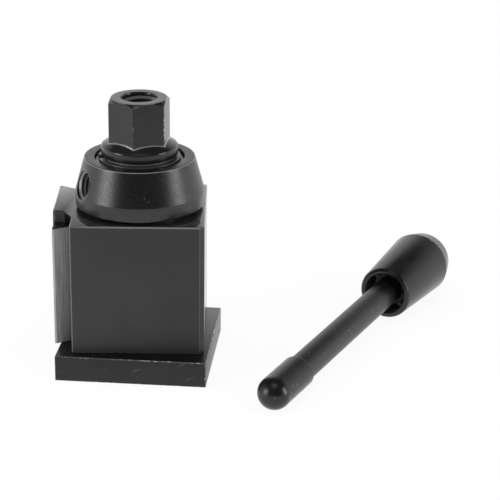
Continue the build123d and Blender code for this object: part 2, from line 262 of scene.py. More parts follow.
def mesh_object(name, mesh):
    data = bpy.data.meshes.new(name)
    mesh.to_mesh(data)
    mesh.free()
    return new_object(name, data)


def lathe(name, profile, closed=True, steps=None):
    """Turned piece about Z from a profile."""
    steps = steps or bpy.context.scene.tool_post.turns
    return column_mesh(name, lambda angle: profile, even_turn(steps), closed)


def settle(piece):
    """Make the piece's modifiers part of its mesh."""
    graph = bpy.context.evaluated_depsgraph_get()
    settled = bpy.data.meshes.new_from_object(piece.evaluated_get(graph))
    piece.modifiers.clear()
    piece.data = settled
    return piece


def mark_faces(piece, **tests):
    """Give each face a value between 0 and 1 under each test's name, for the piece's material to read."""
    mesh = bmesh.new()
    mesh.from_mesh(piece.data)
    bmesh.ops.dissolve_degenerate(mesh, edges=mesh.edges, dist=1e-7)
    for label, test in tests.items():
        layer = mesh.faces.layers.float.new(label)
        for face in mesh.faces:
            face[layer] = test(face)
    mesh.to_mesh(piece.data)
    mesh.free()
    return piece


def where(face):
    """Middle of a face, and how far it lies from the axis."""
    spot = face.calc_center_median()
    return spot, spot.xy.length


def narrow_edge(width):
    """Test for the narrow faces along outer edges, where the oxide wears off."""

    def test(face):
        centre = face.calc_center_median()
        across = 2 * face.calc_area() / sum(edge.calc_length() for edge in face.edges)
        around = [other for edge in face.edges for other in edge.link_faces if other is not face]
        rise = sum((other.calc_center_median() - centre).dot(face.normal) for other in around)
        return float(across < width and rise < 0)

    return test


def smooth(piece, angle=32):
    piece.data.shade_smooth()
    piece.data.set_sharp_from_angle(angle=radians(angle))
    return piece


def bevelled(piece, width, angle=25, steps=2):
    bevel = piece.modifiers.new("Edge break", "BEVEL")
    bevel.width = width
    bevel.segments = steps
    bevel.limit_method = "ANGLE"
    bevel.angle_limit = radians(angle)
    return settle(piece)


def cut_by(piece, cutter):
    """Boolean difference; the cutter is used up."""
    cut = piece.modifiers.new("Cut", "BOOLEAN")
    cut.operation = "DIFFERENCE"
    cut.solver = "EXACT"
    cut.object = cutter
    settle(piece)
    bpy.data.objects.remove(cutter)


def machined_copy(node, name, edge_break, steps=2):
    """Copy of a CAD node with its loose triangles joined, its flat faces made whole and its edges broken."""
    mesh = bmesh.new()
    mesh.from_mesh(frame["nodes"][node].data)
    bmesh.ops.remove_doubles(mesh, verts=mesh.verts, dist=1e-6)
    bmesh.ops.dissolve_limit(mesh, angle_limit=radians(0.4), verts=mesh.verts, edges=mesh.edges)
    return bevelled(mesh_object(name, mesh), edge_break, steps=steps)


def join(name, pieces):
    """One object from several, which are used up."""
    mesh = bmesh.new()
    for piece in pieces:
        mesh.from_mesh(piece.data)
    for piece in pieces:
        bpy.data.objects.remove(piece)
    return mesh_object(name, mesh)


def dress(piece, material, body, slot, *nodes):
    """Finish a piece: its material, the body that it rides on, its slot, which is not used, and the CAD nodes that
    it stands for.
    """
    piece.data.materials.clear()
    piece.data.materials.append(material)
    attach(piece, body)
    if nodes:
        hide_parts(*nodes)


# Shader and geometry trees

def add(tree, kind, inputs=None, **settings):
    """Node with its settings, and with its inputs set or linked by name or number."""
    made = tree.nodes.new(kind)
    for key, value in settings.items():
        setattr(made, key, value)
    for key, value in (inputs or {}).items():
        if isinstance(value, bpy.types.NodeSocket):
            tree.links.new(value, made.inputs[key])
        else:
            made.inputs[key].default_value = value
    return made


def math(tree, operation, first, second=0.0, clamp=False):
    return add(tree, "ShaderNodeMath", {0: first, 1: second}, operation=operation, use_clamp=clamp).outputs[0]


def remap(tree, value, low, high, to_low=0.0, to_high=1.0, interpolation="SMOOTHSTEP"):
    inputs = {"Value": value, "From Min": low, "From Max": high, "To Min": to_low, "To Max": to_high}
    return add(tree, "ShaderNodeMapRange", inputs, interpolation_type=interpolation).outputs["Result"]


def place_on_piece(tree):
    return add(tree, "ShaderNodeTexCoord").outputs["Object"]


def face_mark(tree, label):
    """Value that mark_faces gave each face under this name; 0 where it gave none."""
    return add(tree, "ShaderNodeAttribute", attribute_name=label).outputs["Fac"]


def noise(tree, place, scale, detail, roughness):
    inputs = {"Vector": place, "Scale": scale, "Detail": detail, "Roughness": roughness}
    return add(tree, "ShaderNodeTexNoise", inputs).outputs[0]


def chosen_cells(tree, place, scale, share):
    """Scattered cells: the mask of the chosen share, the distance to each middle and a random value."""
    cells = add(tree, "ShaderNodeTexVoronoi", {"Vector": place, "Scale": scale})
    pick = add(tree, "ShaderNodeSeparateColor", {"Color": cells.outputs["Color"]}).outputs
    return math(tree, "LESS_THAN", pick[0], share), cells.outputs["Distance"], pick[1]


def new_socket(tree, label, kind, side="INPUT"):
    return tree.interface.new_socket(label, in_out=side, socket_type="NodeSocket" + kind)


def shader_group(name, outputs, inputs):
    """Decorator: the function gives the outputs of a shader group with these inputs, which is built once."""

    def wrap(fill):
        def group():
            if name in bpy.data.node_groups:
                return bpy.data.node_groups[name]
            tree = bpy.data.node_groups.new(name, "ShaderNodeTree")
            for label, value in inputs.items():
                kind = "Vector" if isinstance(value, tuple) else "Float"
                new_socket(tree, label, kind).default_value = value
            for label in outputs:
                new_socket(tree, label, "Float", "OUTPUT")
            made = fill(tree, tree.nodes.new("NodeGroupInput").outputs)
            for socket, end in zip(made, tree.nodes.new("NodeGroupOutput").inputs):
                tree.links.new(socket, end)
            return tree

        return group

    return wrap


@shader_group("Machining grain", ["Height", "Drift"], {"Stretch": (1, 1, 1), "Scale": 2500, "Drift scale": 60})
def grain_group(tree, given):
    """Machining grain: a fine height and a slow drift, stretched along the tool's path."""
    place = place_on_piece(tree)
    stretched = add(tree, "ShaderNodeVectorMath", {0: place, 1: given["Stretch"]}, operation="MULTIPLY")
    height = noise(tree, stretched.outputs[0], given["Scale"], 4, 0.65)
    return [height, noise(tree, place, given["Drift scale"], 3, 0.6)]


@shader_group("Edge wear", ["Mask"], {"Break scale": 700, "Amount": 0.5})
def wear_group(tree, given):
    """Broken mask on the faces that are marked as rubbed edges; the mark's value sets how much is bare."""
    rubbed = face_mark(tree, "rubbed")
    patches = noise(tree, place_on_piece(tree), given["Break scale"], 4, 0.75)
    share = math(tree, "MULTIPLY", given["Amount"], rubbed)
    low = math(tree, "SUBTRACT", 0.75, math(tree, "MULTIPLY", share, 0.5))
    broken = remap(tree, patches, low, math(tree, "ADD", low, 0.1), interpolation="LINEAR")
    return [math(tree, "MULTIPLY", math(tree, "GREATER_THAN", rubbed, 0.01), broken, clamp=True)]


@shader_group("Specks", ["Mask"], {"Scale": 1500, "Share": 0.03, "Size": 0.14})
def speck_group(tree, given):
    """Small light specks and nicks scattered on a surface."""
    chosen, distance, chance = chosen_cells(tree, place_on_piece(tree), given["Scale"], given["Share"])
    width = math(tree, "MULTIPLY", given["Size"], math(tree, "ADD", chance, 0.4))
    return [math(tree, "MULTIPLY", chosen, math(tree, "LESS_THAN", distance, width))]


@shader_group("Scratches", ["Mask"], {"Scale": 70, "Share": 0.1, "Slant": 0.5})
def scratch_group(tree, given):
    """Sparse thin scratches at a slant."""
    slanted = {"Vector": place_on_piece(tree), "Angle": given["Slant"]}
    turn = add(tree, "ShaderNodeVectorRotate", slanted, rotation_type="Y_AXIS")
    narrow = add(tree, "ShaderNodeVectorMath", {0: turn.outputs[0], 1: (1, 1, 14)}, operation="MULTIPLY")
    chosen, distance, _ = chosen_cells(tree, narrow.outputs[0], given["Scale"], given["Share"])
    return [math(tree, "MULTIPLY", chosen, remap(tree, distance, 0.16, 0.05))]


def use(tree, group, inputs):
    """Place a shader group in a tree; gives its outputs."""
    return add(tree, "ShaderNodeGroup", inputs, node_tree=group).outputs


def mix_colour(tree, amount, first, second):
    return add(tree, "ShaderNodeMix", {0: amount, 6: first, 7: second}, data_type="RGBA").outputs[2]


def solid(colour, gain=1.0):
    return (*(part * gain for part in colour), 1)


def new_material(name):
    """Material with its tree and its Principled BSDF's inputs."""
    material = bpy.data.materials.new(name)
    material.use_nodes = True
    return material, material.node_tree, material.node_tree.nodes["Principled BSDF"].inputs


def over(tree, marks, mask, share):
    """Marks with a share of a further mask laid over them."""
    return math(tree, "MAXIMUM", marks, math(tree, "MULTIPLY", mask, share))


def bumped(tree, height, strength, distance):
    return add(tree, "ShaderNodeBump", {"Height": height, "Strength": strength, "Distance": distance}).outputs[0]


def steel_material(
    name, colour, roughness, stretch=(1, 1, 1), grain=2500, depth=0.3, wear=0.5, specks=0.02, speck_size=0.14,
    scratches=0.0, spread=0.08, ior=1.6, tone=0.3, gain=1.0, metallic=0.0, sheen=0.95, coarse=0.0, ground=0.0,
    burnish=0.0,
):
    """Blackened or bare machined steel.

    Faces marked rubbed show bare steel in patches. Faces marked as evenly bare show it evenly and faintly: partly
    real burnishing, partly a painted highlight on edges, hollows and thread crests that catch the lamps.
    Faces marked coarse are rougher by the value of coarse, and faces marked ground are bright by that of ground.
    """
    if name in bpy.data.materials:
        return bpy.data.materials[name]
    finish = bpy.context.scene.tool_post.steel
    material, tree, shader = new_material(name)
    grains = use(tree, grain_group(), {"Stretch": stretch, "Scale": grain})
    dust = use(tree, speck_group(), {"Share": specks, "Size": speck_size})[0]
    drift = remap(tree, grains["Drift"], 0.3, 0.7)
    base = mix_colour(tree, drift, solid(colour, gain * (1 - tone)), solid(colour, gain * (1 + tone)))
    marks = over(tree, use(tree, wear_group(), {"Amount": wear})[0], dust, 0.35)
    if scratches > 0:
        marks = over(tree, marks, use(tree, scratch_group(), {"Share": scratches})[0], 0.18)
    # Even bare steel on the marked faces: partly burnishing, partly a painted highlight where they catch the lamps
    if burnish > 0:
        marks = over(tree, marks, face_mark(tree, "burnished"), burnish)
    if ground > 0:
        streaks = remap(tree, grains["Height"], 0.35, 0.65, ground * 0.6, ground)
        marks = over(tree, marks, face_mark(tree, "ground"), streaks)
    rough = remap(tree, grains["Height"], 0.3, 0.7, roughness - spread, roughness + spread)
    if coarse > 0:
        rough = math(tree, "ADD", rough, math(tree, "MULTIPLY", face_mark(tree, "coarse"), coarse))
    tree.links.new(rough, shader["Roughness"])
    tree.links.new(mix_colour(tree, marks, base, solid(finish.bare)), shader["Base Color"])
    tree.links.new(remap(tree, marks, 0, 1, metallic, sheen), shader["Metallic"])
    tree.links.new(bumped(tree, grains["Height"], depth, 0.04 * MM), shader["Normal"])
    shader["IOR"].default_value = ior
    return material


def plastic_material(name, colour, roughness, grain, depth, specks):
    """Moulded plastic or dipped vinyl. Faces marked as the hollow are greyer and rougher: partly the matt inside of
    a moulding, partly painted light that lifts the shade in the hollow.
    """
    material, tree, shader = new_material(name)
    grains = use(tree, grain_group(), {"Scale": grain, "Drift scale": 130})
    dust = use(tree, speck_group(), {"Scale": 800, "Share": specks, "Size": 0.3})[0]
    drift = remap(tree, grains["Drift"], 0.35, 0.65)
    base = mix_colour(tree, drift, solid(colour, 0.8), solid(colour, 1.25))
    dusty = mix_colour(tree, math(tree, "MULTIPLY", dust, 0.4), base, (0.3, 0.3, 0.3, 1))
    dull = face_mark(tree, "dull")
    # Marked faces take a lighter grey: partly a matt moulded inside, partly painted light in the hollow
    tree.links.new(mix_colour(tree, dull, dusty, (0.07, 0.07, 0.071, 1)), shader["Base Color"])
    rough = remap(tree, drift, 0, 1, roughness * 0.85, roughness * 1.15)
    tree.links.new(math(tree, "ADD", rough, math(tree, "MULTIPLY", dull, 0.4)), shader["Roughness"])
    tree.links.new(bumped(tree, grains["Height"], depth, 0.03 * MM), shader["Normal"])
    shader["IOR"].default_value = 1.5
    return material


def thread_tree():
    """Helical ridge of a screw thread, standing on a cylinder about Z."""
    name = "Thread ridge"
    if name in bpy.data.node_groups:
        return bpy.data.node_groups[name]
    tree = bpy.data.node_groups.new(name, "GeometryNodeTree")
    for label in ("Middle radius", "Ridge height", "Inner width", "Outer width", "Length", "Turns"):
        new_socket(tree, label, "Float")
    new_socket(tree, "Steps per turn", "Int")
    new_socket(tree, "Finish", "Material")
    new_socket(tree, "Geometry", "Geometry", "OUTPUT")
    given = tree.nodes.new("NodeGroupInput").outputs
    radius = given["Middle radius"]
    helix = {
        "Resolution": given["Steps per turn"], "Rotations": given["Turns"], "Height": given["Length"],
        "Start Radius": radius, "End Radius": radius,
    }
    spiral = add(tree, "GeometryNodeCurveSpiral", helix)
    upright = add(tree, "GeometryNodeSetCurveNormal", {"Curve": spiral.outputs[0]}, mode="Z_UP")
    ridge = {
        "Height": given["Ridge height"], "Bottom Width": given["Inner width"], "Top Width": given["Outer width"],
        "Offset": 0.0,
    }
    section = add(tree, "GeometryNodeCurvePrimitiveQuadrilateral", ridge, mode="TRAPEZOID")
    turn = add(tree, "GeometryNodeTransform", {"Geometry": section.outputs[0], "Rotation": (0, 0, pi / 2)})
    sweep = {"Curve": upright.outputs[0], "Profile Curve": turn.outputs[0], "Fill Caps": True}
    swept = add(tree, "GeometryNodeCurveToMesh", sweep)
    real = add(tree, "GeometryNodeRealizeInstances", {"Geometry": swept.outputs[0]})
    painted = add(tree, "GeometryNodeSetMaterial", {"Geometry": real.outputs[0], "Material": given["Finish"]})
    tree.links.new(painted.outputs[0], tree.nodes.new("NodeGroupOutput").inputs[0])
    return tree


def thread_piece(name, root_radius, crest_radius, pitch, length, place, material):
    """Thread ridge as a plain mesh. It points inwards where the crest's radius is the smaller one."""
    tree = thread_tree()
    holder = mesh_object(name, bmesh.new())
    grown = holder.modifiers.new("Thread", "NODES")
    grown.node_group = tree
    root, crest = (root_radius, pitch * ROOT_WIDTH), (crest_radius, pitch * CREST_WIDTH)
    (inner, inner_width), (outer, outer_width) = sorted((root, crest))
    values = {
        "Middle radius": (inner + outer) / 2, "Ridge height": outer - inner,
        "Inner width": inner_width, "Outer width": outer_width,
        "Length": length, "Turns": length / pitch, "Steps per turn": 48, "Finish": material,
    }
    sockets = {item.name: item.identifier for item in tree.interface.items_tree}
    for label, value in values.items():
        grown[sockets[label]] = value
    settle(holder)
    holder.data.transform(place)
    mesh = bmesh.new()
    mesh.from_mesh(holder.data)
    bmesh.ops.remove_doubles(mesh, verts=mesh.verts, dist=1e-7)
    bmesh.ops.recalc_face_normals(mesh, faces=mesh.faces)
    mesh.to_mesh(holder.data)
    mesh.free()
    return smooth(holder, 30)


def black_steel(name, **changes):
    return steel_material(name, bpy.context.scene.tool_post.steel.oxide, **changes)


def inner_steel():
    colour = bpy.context.scene.tool_post.steel.ground
    return steel_material("Ground inner steel", colour, roughness=0.32, stretch=(1, 1, 6), wear=0.2, specks=0.005)


# Places

def raised(height):
    return Matrix.Translation((0, 0, height))


def turned(angle, axis="Z"):
    return Matrix.Rotation(angle, 4, axis)


def round_box(node):
    """Radius, lowest and highest point of a round CAD node about Z."""
    low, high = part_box(node)
    return high.x, low.z, high.z


def lever_place():
    """Place of the upright lever: its axis from the cap's joint, its middle from the rod's box."""
    sizes = bpy.context.scene.tool_post.lever
    pull = next(joint for joint in frame["joints"] if joint["name"] == "cap_pull")
    along = -Vector(pull["axis"]).normalized()
    low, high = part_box("handle_rod")
    lie = turned(atan2(along.y, along.x)) @ turned(pi / 2 - asin(along.z), "Y")
    return Matrix.Translation((low + high) / 2) @ lie @ raised(-(sizes.rod_start + sizes.rod_end) / 2)


class DressInner(Operator):
    """Give the inner pieces, which stay as the CAD made them, their ground steel"""

    bl_idname = "tool_post.inner"
    bl_label = "Inner pieces"

    def execute(self, context):
        for node in ("centre_tube", "drive_sleeve", "ring_keys", "thrust_washer"):
            data = frame["nodes"][node].data
            data.materials.clear()
            data.materials.append(inner_steel())
        return {"FINISHED"}


class DressBase(Operator):
    """Base plate with worn edges, and the stud with its thread"""

    bl_idname = "tool_post.base"
    bl_label = "Base plate and stud"

    def execute(self, context):
        steel, nut = context.scene.tool_post.steel, context.scene.tool_post.nut
        plate = machined_copy("base_plate", "plate", steel.edge_break)
        strip = narrow_edge(steel.plate_strip)
        # Narrow edges are rubbed in patches and evenly bare: wear, burnishing and a painted edge highlight
        smooth(mark_faces(plate, rubbed=strip, burnished=strip, coarse=lambda face: float(abs(face.normal.z) < 0.5)))
        plate_steel = black_steel(
            "Milled plate", roughness=0.22, stretch=(0.25, 1, 1), wear=0.46, specks=0.03, scratches=0.35, ior=1.47,
            coarse=0.12, gain=1.2, burnish=0.12,
        )
        dress(plate, plate_steel, "base", "plate_steel", "base_plate")
        _, low, high = round_box("centre_stud")
        pitch = nut.thread_pitch
        core = nut.thread_major - OUTER_THREAD_DEPTH * pitch
        tip = 0.9 * MM
        profile = [
            (0, low, 0), (core, low, 0.1 * MM),
            (core, high - tip, 0.1 * MM), (core - tip, high, 0.1 * MM), (0, high, 0),
        ]
        stud = smooth(lathe("stud", rounded(profile), closed=False, steps=96))
        stud_steel = inner_steel()
        dress(stud, stud_steel, "base", "inner_steel", "centre_stud")
        length, start = high - low - 3 * pitch, raised(low + pitch)
        ridge = thread_piece("stud_thread", core - 0.05 * MM, nut.thread_major, pitch, length, start, stud_steel)
        dress(ridge, stud_steel, "base", "inner_steel")
        return {"FINISHED"}


class DressBody(Operator):
    """Ground block with its two dovetails, and the wedges that slide in them"""

    bl_idname = "tool_post.body"
    bl_label = "Body and wedges"

    def execute(self, context):
        steel = context.scene.tool_post.steel
        block = machined_copy("post_body", "block", steel.edge_break)
        strip = narrow_edge(steel.block_strip)

        def front_or_rear(face):
            return float(abs(face.normal.y) > 0.5 and abs(face.normal.z) < 0.1)

        def even(face):
            """Every edge a little, as burnishing and faint painted highlight, and the upright ones that face right
            in full, as a painted highlight on the side that catches the light.
            """
            upright_right = abs(face.normal.z) < 0.1 and face.normal.x > 0.1
            return strip(face) * (1.0 if upright_right else 0.225)

        smooth(mark_faces(block, rubbed=lambda face: 0.5 * strip(face), burnished=even, coarse=front_or_rear))
        block_steel = black_steel(
            "Ground block", roughness=0.1, stretch=(1, 1, 0.12), wear=0.6, specks=0.01, depth=0.04, spread=0.02,
            coarse=0.55, gain=4.4, burnish=0.8, tone=0.1,
        )
        dress(block, block_steel, "post", "body_steel", "post_body")
        wedge_steel = black_steel(
            "Ground wedge", roughness=0.36, stretch=(1, 1, 0.03), wear=0.8, specks=0.01, ground=1.0, sheen=0.15,
            burnish=0.5,
        )
        narrow = narrow_edge(steel.wedge_strip)
        for node, name, body, outwards in (
            ("side_wedge", "wedge_left", "left_wedge", (0.5, -0.87, 0)),
            ("rear_wedge", "wedge_back", "back_wedge", (0.87, -0.5, 0)),
        ):
            flank = Vector(outwards)

            def on_flank(face):
                return float(face.normal.dot(flank) > 0.8)

            wedge = machined_copy(node, name, steel.edge_break)
            # Narrow edges are rubbed in patches and evenly bare: wear, burnishing and a painted edge highlight
            smooth(mark_faces(wedge, rubbed=narrow, burnished=narrow, ground=on_flank))
            dress(wedge, wedge_steel, body, "wedge_steel", node)
        return {"FINISHED"}


def socket_place(sizes):
    """Place of the lever socket, with its mouth at the origin and Z pointing out of it."""
    socket = next(mount for mount in frame["record"]["mounts"] if mount["name"] == "lever_socket")
    out = Vector(socket["axis"]).normalized()
    sink = sizes.sink_radius - sizes.socket_core
    mouth = Vector(socket["pos_m"]) + out * ((sizes.socket_depth - sink) / 2 + sink)
    return Matrix.Translation(mouth) @ out.to_track_quat("Z", "Y").to_matrix().to_4x4()


def ring_piece(sizes, place, wall):
    """Turned ring with the lever socket cut in it; wall is the radius of the socket."""
    outer, base, top = round_box("cam_ring")
    band_top, floor, seat = base + sizes.band, top - sizes.mouth_depth, base + sizes.seat_depth
    slant, height = sizes.top_radius - outer, top - band_top
    cone = [(outer + slant * step / 12, band_top + height * step / 12, 0) for step in range(1, 12)]
    profile = [
        (sizes.seat_radius, base, 0.3 * MM),
        (outer, base, 0.55 * MM),
        (outer, band_top, 0.12 * MM),
        *cone,
        (sizes.top_radius, top, 0.5 * MM),
        (sizes.mouth_radius, top, 0.25 * MM),
        (sizes.mouth_radius, floor, 0.2 * MM),
        (sizes.bore_radius, floor, 0.2 * MM),
        (sizes.bore_radius, seat, 0.2 * MM),
        (sizes.seat_radius, seat, 0.2 * MM),
    ]
    ring = lathe("turned_ring", rounded(profile))
    depth, sink, past = sizes.socket_depth, sizes.sink_radius, 1.5 * MM
    drill = [(0, -depth), (wall, -depth), (wall, wall - sink), (sink + past, past), (0, past)]
    cutter = lathe("socket_cutter", drill, closed=False, steps=96)
    cutter.data.transform(place)
    cut_by(ring, cutter)
    bevelled(ring, 0.12 * MM, angle=32)
    into_socket = place.inverted()

    def top_edge(face):
        spot, reach = where(face)
        return float(abs(reach - sizes.top_radius) < 0.3 * MM and spot.z > top - 0.45 * MM)

    def bright(face):
        """Countersink of the socket, and the lower part of the top edge's rounding: a painted highlight, with some
        burnishing.
        """
        spot, _ = where(face)
        inside = into_socket @ spot
        reach = inside.xy.length
        on_sink = reach > sizes.socket_core + 0.1 * MM and abs(reach - sink - inside.z) < 0.15 * MM
        return float(on_sink or top_edge(face) and top - spot.z > 0.12 * MM)

    return smooth(mark_faces(ring, rubbed=top_edge, burnished=bright))


class DressRing(Operator):
    """Turned cam ring with its threaded lever socket"""

    bl_idname = "tool_post.cam_ring"
    bl_label = "Cam ring"

    def execute(self, context):
        sizes = context.scene.tool_post.ring
        place, wall, pitch = socket_place(sizes), sizes.socket_major + 0.05 * MM, sizes.socket_pitch
        ring_steel = black_steel(
            "Turned ring", roughness=0.33, wear=0.34, specks=0.014, grain=2300, depth=0.75, burnish=0.35,
            speck_size=0.26,
        )
        dress(ring_piece(sizes, place, wall), ring_steel, "cam", "ring_steel", "cam_ring")
        start = place @ raised(0.3 * MM - sizes.socket_depth) @ turned(pi)
        root, crest, length = wall + 0.05 * MM, sizes.socket_core, 4.5 * pitch
        ridge = thread_piece("socket_thread", root, crest, pitch, length, start, ring_steel)
        # The thread's crests are marked evenly bare: a painted highlight where they catch the lamps, with some
        # burnishing
        dress(mark_faces(ridge, burnished=lambda face: 0.8), ring_steel, "cam", "ring_steel")
        return {"FINISHED"}


class DressRetainer(Operator):
    """Split retaining ring in the mouth of the cam ring"""

    bl_idname = "tool_post.retainer"
    bl_label = "Retaining ring"

    def execute(self, context):
        clip = smooth(machined_copy("retaining_ring", "split_ring", 0.15 * MM, steps=3))
        clip_steel = steel_material("Spring steel", (0.13, 0.13, 0.135), roughness=0.36, specks=0.01, metallic=0.8)
        dress(clip, clip_steel, "post", "inner_steel", "retaining_ring")
        return {"FINISHED"}


def nut_piece(sizes, bore):
    """Hexagon with rounded, chamfered corners on a sloping collar, marked where it is worn."""
    rim, base, top = round_box("clamp_nut")
    rim_top = base + sizes.rim_height
    side, edge, inset = pi / 3, 0.28 * MM, 0.05 * MM
    centre = (sizes.apothem - edge) / cos(side / 2)
    bend = side / 2 - atan2((sizes.apothem - edge) * tan(side / 2), sizes.apothem)
    mouth = sizes.thread_major + 0.25 * MM

    def off_corner(angle):
        off = (angle - sizes.turn) % side
        return min(off, side - off)

    def hexagon(angle):
        """Radius of the hexagon with rounded corners."""
        off = off_corner(angle)
        if off < bend:
            return centre * cos(off) + sqrt(edge**2 - (centre * sin(off)) ** 2)
        return sizes.apothem / cos(side / 2 - off)

    def collar_height(radius):
        return rim_top + (rim - radius) * tan(sizes.collar_slope)

    def chamfer_height(radius):
        return top - (radius - sizes.apothem + inset) * tan(sizes.chamfer_slope)

    def column(angle):
        across = hexagon(angle)
        corners = [
            (bore, base, 0.2 * MM), (rim, base, 0.25 * MM), (rim, rim_top, sizes.rim_round),
            (across, collar_height(across), sizes.foot_round),
            (across, chamfer_height(across), 0.1 * MM), (sizes.apothem - inset, top, 0.1 * MM),
            (mouth, top, 0.08 * MM), (bore, top - (mouth - bore) - 0.3 * MM, 0.05 * MM),
        ]
        return rounded(corners)

    def worn(face):
        """Upper part of the corners and the edge of the chamfer."""
        spot, reach = where(face)
        if reach < sizes.apothem - 0.1 * MM or spot.z < collar_height(reach) + 6 * MM:
            return 0.0
        turn = atan2(spot.y, spot.x)
        across = hexagon(turn)
        on_corner = off_corner(turn) < bend and reach > across - 0.1 * MM
        return 0.72 * on_corner or 0.9 * (abs(spot.z - chamfer_height(across)) < 0.12 * MM)

    # Painted highlight: the hollow rounding at the foot of the flats, which mirrors the lamps, is marked bright
    def painted_foot_highlight(face):
        spot, reach = where(face)
        past = reach - hexagon(atan2(spot.y, spot.x))
        return float(0.02 * MM < past < 0.36 * MM and abs(spot.z - collar_height(reach)) < 0.32 * MM)

    angles = []
    for number in range(6):
        corner = sizes.turn + number * side
        angles += [corner - bend + 2 * bend * step / 6 for step in range(6)]
        angles += [corner + bend + (side - 2 * bend) * step / 26 for step in range(26)]
    nut = column_mesh("hexagon_nut", column, angles, closed=True)
    return smooth(mark_faces(nut, rubbed=worn, burnished=painted_foot_highlight), 28)


class DressNut(Operator):
    """Hexagon clamp nut with its collar, shoulder, chamfered corners and thread"""

    bl_idname = "tool_post.nut"
    bl_label = "Clamp nut"

    def execute(self, context):
        sizes = context.scene.tool_post.nut
        bore, pitch = sizes.thread_major + 0.03 * MM, sizes.thread_pitch
        nut_steel = black_steel(
            "Milled nut", roughness=0.2, stretch=(1, 1, 0.4), wear=0.62, specks=0.01, depth=0.06, spread=0.03,
            ior=1.5, burnish=0.5, gain=2.4,
        )
        dress(nut_piece(sizes, bore), nut_steel, "nut", "nut_steel", "clamp_nut")
        _, base, top = round_box("clamp_nut")
        crest = sizes.thread_major - INNER_THREAD_DEPTH * pitch
        length, start = top - base - 1.4 * MM, raised(base + 0.6 * MM)
        ridge = thread_piece("nut_thread", bore + 0.04 * MM, crest, pitch, length, start, nut_steel)
        # The thread's crests are marked evenly bare: a painted highlight where they catch the lamps, with some
        # burnishing
        dress(mark_faces(ridge, burnished=lambda face: 0.4), nut_steel, "nut", "nut_steel")
        return {"FINISHED"}


def knob_piece(sizes):
    """Tapered shell with a dome, and inside it a hub that grips the rod and two ribs."""
    low, small, large = sizes.knob_start, sizes.knob_small, sizes.knob_large
    cone_top = low + sizes.knob_cone
    dome = cone_top + sizes.knob_shoulder
    dome_radius = large - sizes.knob_shoulder * tan(sizes.knob_shoulder_slope)
    floor = low + sizes.knob_depth
    mouth = small - sizes.knob_wall
    floor_radius = mouth + (large - small) / sizes.knob_cone * sizes.knob_depth
    hub, hub_low, grip = sizes.knob_hub, low + 5.5 * MM, sizes.rod_radius
    corners = [
        (grip, hub_low, 0.2 * MM),
        (hub, hub_low, 0.3 * MM),
        (hub + 0.2 * MM, floor, 0.5 * MM),
        (floor_radius, floor, 0.5 * MM),
        (mouth, low, 0.55 * MM),
        (small, low, 1.0 * MM),
        (large, cone_top, 0.2 * MM),
        (dome_radius, dome, 0),
    ]
    # The dome is the end of an ellipse that leaves the shoulder along its slope
    push = tan(sizes.knob_shoulder_slope) * sizes.knob_dome / dome_radius
    first = asin(push / (1 - push))
    rise = sizes.knob_dome / (1 - sin(first))
    turns = [first + (pi / 2 - first) * step / 30 for step in range(1, 31)]
    top = [(dome_radius * cos(t) / cos(first), dome + rise * (sin(t) - sin(first))) for t in turns]
    top[-1] = (0, top[-1][1])
    rod_stop = sizes.rod_end + 0.1 * MM
    pieces = [lathe("knob_shell", [(0, rod_stop), (grip, rod_stop), *rounded(corners, 6), *top], closed=False)]
    length, thickness, height = mouth - hub + 1.6 * MM, 1.6 * MM, sizes.knob_depth - 3 * MM
    middle = (hub - 0.5 * MM + length / 2, 0, low + 3.5 * MM + height / 2)
    shape = Matrix.Translation(middle) @ Matrix.Diagonal((length, thickness, height, 1))
    for turn in (sizes.knob_rib_turn, sizes.knob_rib_turn + pi):
        rib = bmesh.new()
        bmesh.ops.create_cube(rib, size=1, matrix=turned(turn) @ shape)
        pieces.append(bevelled(mesh_object("rib", rib), 0.25 * MM, steps=3))

    def in_hollow(face):
        spot, reach = where(face)
        return float(reach < floor_radius and low + 0.3 * MM < spot.z < floor + MM)

    # The hollow is marked greyer: partly a matt moulded inside, partly painted light lifting its shade
    return smooth(mark_faces(join("lever_knob", pieces), dull=in_hollow), 30)


class DressLever(Operator):
    """Lever rod with its thread, and the moulded knob on it"""

    bl_idname = "tool_post.lever"
    bl_label = "Lever and knob"

    def execute(self, context):
        sizes = context.scene.tool_post.lever
        place = lever_place()
        rod_steel = black_steel(
            "Lever rod", roughness=0.37, wear=0.4, specks=0.05, grain=2600, depth=0.4, speck_size=0.3
        )
        radius, low, high = sizes.rod_radius, sizes.rod_start, sizes.rod_end
        core = radius - OUTER_THREAD_DEPTH * sizes.thread_pitch
        threaded = sizes.cap_length - 4 * MM
        tip = 1.0 * MM
        profile = [
            (0, low, 0), (core - 0.4 * MM, low, 0.1 * MM),
            (core, low + tip, 0.1 * MM), (core, threaded, 0.1 * MM),
            (radius, threaded + tip, 0.2 * MM), (radius, high - tip, 0.3 * MM),
            (radius - tip, high, 0.1 * MM), (0, high, 0),
        ]
        bar = smooth(lathe("lever_rod", rounded(profile), closed=False, steps=96))
        bar.data.transform(place)
        dress(bar, rod_steel, "lever", "rod_steel", "handle_rod")
        length, start = threaded - low - 2 * tip, place @ raised(low + tip)
        ridge = thread_piece("rod_thread", core - 0.05 * MM, radius, sizes.thread_pitch, length, start, rod_steel)
        dress(ridge, rod_steel, "lever", "rod_steel")
        knob = knob_piece(sizes)
        knob.data.transform(place)
        gloss = plastic_material(
            "Glossy knob", (0.0075, 0.0075, 0.008), roughness=0.2, grain=900, depth=0.05, specks=0.01
        )
        dress(knob, gloss, "lever", "knob_plastic", "handle_knob")
        return {"FINISHED"}


